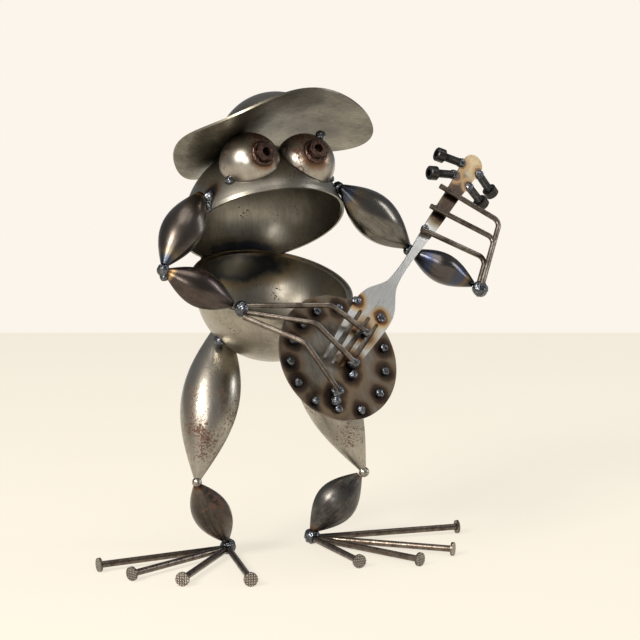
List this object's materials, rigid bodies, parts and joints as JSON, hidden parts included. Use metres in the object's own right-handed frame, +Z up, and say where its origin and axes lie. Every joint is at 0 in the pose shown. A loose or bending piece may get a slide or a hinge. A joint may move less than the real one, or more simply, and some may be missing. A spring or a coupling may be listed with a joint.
{
  "type": "welded scrap-metal frog figure",
  "caption": "Standing frog figure welded from scrap steel, with bowl-shaped body and wide open mouth, brimmed hat, nail toes, and a banjo made of a flat disc and a table fork",
  "frame": {"origin": "on the floor under the centre of the overall bounding box", "axes": "+Z up, the frog faces -Y, its own left hand and the banjo's neck are on the +X side"},
  "size_m": [0.2616, 0.132, 0.2705],
  "materials": {
    "body_sheet": "bare drawn steel under clear lacquer, straw to blue heat tint at the hinge weld",
    "head_sheet": "bare drawn steel under clear lacquer, fine upright grain and dark pits",
    "eye_sheet": "bright worn steel with rust freckles over the top",
    "pupil_nut": "rusted plain steel",
    "brim_sheet": "bare steel, dark radial scratches under the brim, bright worn edge",
    "crown_sheet": "bare drawn steel under clear lacquer",
    "thigh_shell": "light drawn steel with rust freckles low down",
    "shin_shell": "dark mill scale with a satin lacquer",
    "right_arm_shell": "dark mill scale, blue and straw tint near the elbow",
    "left_upper_arm_shell": "dark polished steel, straw band near the welds",
    "left_forearm_shell": "dark polished steel with blue, violet and gold heat tint",
    "nail": "dark steel nails with bright waffle heads",
    "drum_plate": "cut steel plate with dark brown haloes round the weld dots",
    "fork_metal": "satin table steel, tan to dark brown heat tint along the handle",
    "black_screw": "black oxide",
    "finger_rod": "cold-bent round bar, tan and grey with rust specks",
    "weld_metal": "blue-grey weld beads, glossy with brown rims"
  },
  "bodies": {
    "root": {"ankle_welds": "weld_metal", "banjo_drum": "drum_plate", "banjo_neck_fork": "fork_metal", "body_bowl": "body_sheet", "drum_dots": "weld_metal", "elbow_welds": "weld_metal", "eye_left": "eye_sheet", "eye_right": "eye_sheet", "eye_welds": "weld_metal", "fingertip_welds": "weld_metal", "fret_welds": "weld_metal", "hat_brim": "brim_sheet", "hat_crown": "crown_sheet", "hat_welds": "weld_metal", "head_bowl": "head_sheet", "hip_welds": "weld_metal", "knee_welds": "weld_metal", "left_finger_rod_1": "finger_rod", "left_finger_rod_2": "finger_rod", "left_finger_rod_3": "finger_rod", "left_forearm_back": "left_forearm_shell", "left_forearm_front": "left_forearm_shell", "left_shin_back": "shin_shell", "left_shin_front": "shin_shell", "left_thigh_back": "thigh_shell", "left_thigh_front": "thigh_shell", "left_toe_nail_1": "nail", "left_toe_nail_2": "nail", "left_toe_nail_3": "nail", "left_toe_nail_4": "nail", "left_upper_arm_back": "left_upper_arm_shell", "left_upper_arm_front": "left_upper_arm_shell", "neck_plug_welds": "weld_metal", "neck_weld": "weld_metal", "nut_welds": "weld_metal", "pupil_nut_left": "pupil_nut", "pupil_nut_right": "pupil_nut", "right_finger_rod_1": "finger_rod", "right_finger_rod_2": "finger_rod", "right_finger_rod_3": "finger_rod", "right_forearm_back": "right_arm_shell", "right_forearm_front": "right_arm_shell", "right_shin_back": "shin_shell", "right_shin_front": "shin_shell", "right_thigh_back": "thigh_shell", "right_thigh_front": "thigh_shell", "right_toe_nail_1": "nail", "right_toe_nail_2": "nail", "right_toe_nail_3": "nail", "right_toe_nail_4": "nail", "right_upper_arm_back": "right_arm_shell", "right_upper_arm_front": "right_arm_shell", "screw_welds": "weld_metal", "shoulder_welds": "weld_metal", "tuning_screw_1": "black_screw", "tuning_screw_2": "black_screw", "tuning_screw_3": "black_screw", "tuning_screw_4": "black_screw", "wrist_welds": "weld_metal"}
  },
  "joints": []
}
